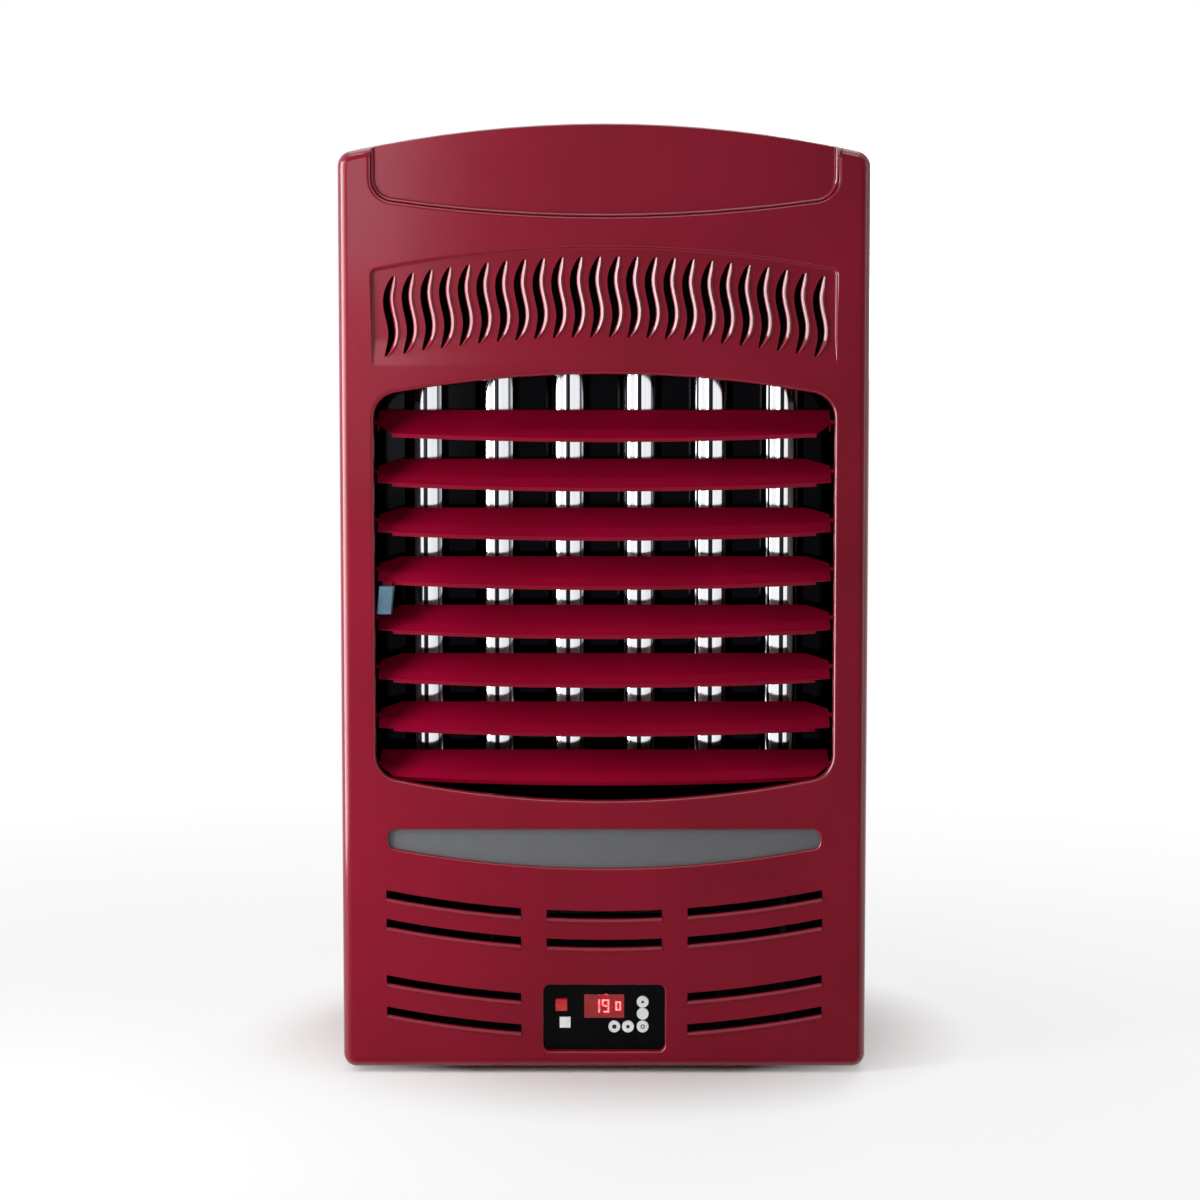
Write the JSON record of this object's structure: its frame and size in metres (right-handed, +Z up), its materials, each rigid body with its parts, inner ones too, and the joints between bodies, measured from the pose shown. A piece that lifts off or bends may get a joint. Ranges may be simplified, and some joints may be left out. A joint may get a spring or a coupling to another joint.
{
  "type": "gas heater",
  "caption": "Free-standing flued gas heater with an arched enamelled casing, tilting louvre slats before a fluted reflector, and a recessed electronic control panel.",
  "frame": {"origin": "centre of the base on the floor, under the middle of the whole heater", "axes": "+Z up, +X to the viewer's right when facing the louvres, +Y from the front to the flue at the back"},
  "size_m": [0.56, 0.42, 1.01],
  "materials": {
    "enamel": "burgundy enamel, glossy",
    "galvanised_steel": "galvanised, dull",
    "polished_steel": "mirror-polished stainless",
    "heat_resistant_steel": "black heat-resistant coat, matt",
    "brass": "machined",
    "cast_aluminium": "die-cast",
    "ceramic": "white ceramic sleeve",
    "black_moulding": "black moulding",
    "black_gloss": "black, glossy",
    "board_green": "solder-masked board",
    "grey_plate": "satin grey",
    "red_lens": "translucent red",
    "lit_digits": "lit segments",
    "red_plastic": "glossy red",
    "white_plastic": "white moulding",
    "blue_plastic": "pale blue moulding",
    "rubber": "black rubber"
  },
  "bodies": {
    "casing": {"back_panel": "galvanised_steel", "base_tray": "galvanised_steel", "burner_brackets": "galvanised_steel", "burner_tube": "heat_resistant_steel", "cable_gland": "rubber", "chamber_legs": "galvanised_steel", "circuit_board": "board_green", "combustion_chamber": "heat_resistant_steel", "control_fascia": "black_gloss", "control_housing": "black_moulding", "display_digits": "lit_digits", "display_module": "black_moulding", "display_window": "red_lens", "flame_sensor": "ceramic", "flue_collar": "galvanised_steel", "front_panel": "enamel", "gas_injector": "brass", "gas_inlet_pipe": "brass", "gas_valve": "cast_aluminium", "ignition_electrode": "ceramic", "louvre_bracket_left": "galvanised_steel", "louvre_bracket_right": "galvanised_steel", "manifold_pipe": "brass", "plate_clips": "galvanised_steel", "probe_holder": "galvanised_steel", "reflector": "polished_steel", "reflector_brackets": "galvanised_steel", "rocker_frame": "black_moulding", "rubber_feet": "rubber", "side_panel_left": "enamel", "side_panel_right": "enamel", "solenoid_coils": "black_moulding", "tact_switches": "black_moulding", "top_cover": "enamel", "valve_bracket": "galvanised_steel", "window_plate": "grey_plate"},
    "slat_1": {"louvre_slat_1": "enamel"},
    "slat_2": {"louvre_slat_2": "enamel"},
    "slat_3": {"louvre_slat_3": "enamel"},
    "slat_4": {"louvre_slat_4": "enamel", "louvre_grip": "blue_plastic"},
    "slat_5": {"louvre_slat_5": "enamel"},
    "slat_6": {"louvre_slat_6": "enamel"},
    "slat_7": {"louvre_slat_7": "enamel"},
    "slat_8": {"louvre_slat_8": "enamel"},
    "tie_bar": {"louvre_tie_bar": "galvanised_steel"},
    "round_button_1": {"round_button_1": "white_plastic"},
    "round_button_2": {"round_button_2": "white_plastic"},
    "round_button_3": {"round_button_3": "white_plastic"},
    "round_button_4": {"round_button_4": "white_plastic"},
    "round_button_5": {"round_button_5": "white_plastic"},
    "square_button": {"square_button": "white_plastic"},
    "rocker": {"power_rocker": "red_plastic"}
  },
  "joints": [
    {"name": "slat_1_tilt", "type": "hinge", "parent": "casing", "child": "slat_1", "pos_m": [0, -0.176, 0.697], "axis": [1, 0, 0], "range_deg": [-30, 15]},
    {"name": "slat_2_tilt", "type": "hinge", "parent": "casing", "child": "slat_2", "pos_m": [0, -0.176, 0.6447], "axis": [1, 0, 0], "range_deg": [-30, 15]},
    {"name": "slat_3_tilt", "type": "hinge", "parent": "casing", "child": "slat_3", "pos_m": [0, -0.176, 0.5924], "axis": [1, 0, 0], "range_deg": [-30, 15]},
    {"name": "slat_4_tilt", "type": "hinge", "parent": "casing", "child": "slat_4", "pos_m": [0, -0.176, 0.5401], "axis": [1, 0, 0], "range_deg": [-30, 15]},
    {"name": "slat_5_tilt", "type": "hinge", "parent": "casing", "child": "slat_5", "pos_m": [0, -0.176, 0.4878], "axis": [1, 0, 0], "range_deg": [-30, 15]},
    {"name": "slat_6_tilt", "type": "hinge", "parent": "casing", "child": "slat_6", "pos_m": [0, -0.176, 0.4355], "axis": [1, 0, 0], "range_deg": [-30, 15]},
    {"name": "slat_7_tilt", "type": "hinge", "parent": "casing", "child": "slat_7", "pos_m": [0, -0.176, 0.3832], "axis": [1, 0, 0], "range_deg": [-30, 15]},
    {"name": "slat_8_tilt", "type": "hinge", "parent": "casing", "child": "slat_8", "pos_m": [0, -0.176, 0.3309], "axis": [1, 0, 0], "range_deg": [-30, 15]},
    {"name": "tie_bar_pivot", "type": "hinge", "parent": "slat_4", "child": "tie_bar", "pos_m": [-0.2555, -0.159, 0.5401], "axis": [1, 0, 0], "range_deg": [-15, 30]},
    {"name": "round_button_1_press", "type": "slide", "parent": "casing", "child": "round_button_1", "axis": [0, 1, 0], "range_m": [0, 0.0015], "stiffness_N_per_m": 800},
    {"name": "round_button_2_press", "type": "slide", "parent": "casing", "child": "round_button_2", "axis": [0, 1, 0], "range_m": [0, 0.0015], "stiffness_N_per_m": 800},
    {"name": "round_button_3_press", "type": "slide", "parent": "casing", "child": "round_button_3", "axis": [0, 1, 0], "range_m": [0, 0.0015], "stiffness_N_per_m": 800},
    {"name": "round_button_4_press", "type": "slide", "parent": "casing", "child": "round_button_4", "axis": [0, 1, 0], "range_m": [0, 0.0015], "stiffness_N_per_m": 800},
    {"name": "round_button_5_press", "type": "slide", "parent": "casing", "child": "round_button_5", "axis": [0, 1, 0], "range_m": [0, 0.0015], "stiffness_N_per_m": 800},
    {"name": "square_button_press", "type": "slide", "parent": "casing", "child": "square_button", "axis": [0, 1, 0], "range_m": [0, 0.0015], "stiffness_N_per_m": 800},
    {"name": "rocker_tilt", "type": "hinge", "parent": "casing", "child": "rocker", "pos_m": [-0.046, -0.1985, 0.073], "axis": [1, 0, 0], "range_deg": [-18, 0]}
  ],
  "couplings": [
    {"joint": "slat_1_tilt", "follows": "slat_4_tilt", "ratio": 1},
    {"joint": "slat_2_tilt", "follows": "slat_4_tilt", "ratio": 1},
    {"joint": "slat_3_tilt", "follows": "slat_4_tilt", "ratio": 1},
    {"joint": "slat_5_tilt", "follows": "slat_4_tilt", "ratio": 1},
    {"joint": "slat_6_tilt", "follows": "slat_4_tilt", "ratio": 1},
    {"joint": "slat_7_tilt", "follows": "slat_4_tilt", "ratio": 1},
    {"joint": "slat_8_tilt", "follows": "slat_4_tilt", "ratio": 1},
    {"joint": "tie_bar_pivot", "follows": "slat_4_tilt", "ratio": -1}
  ]
}
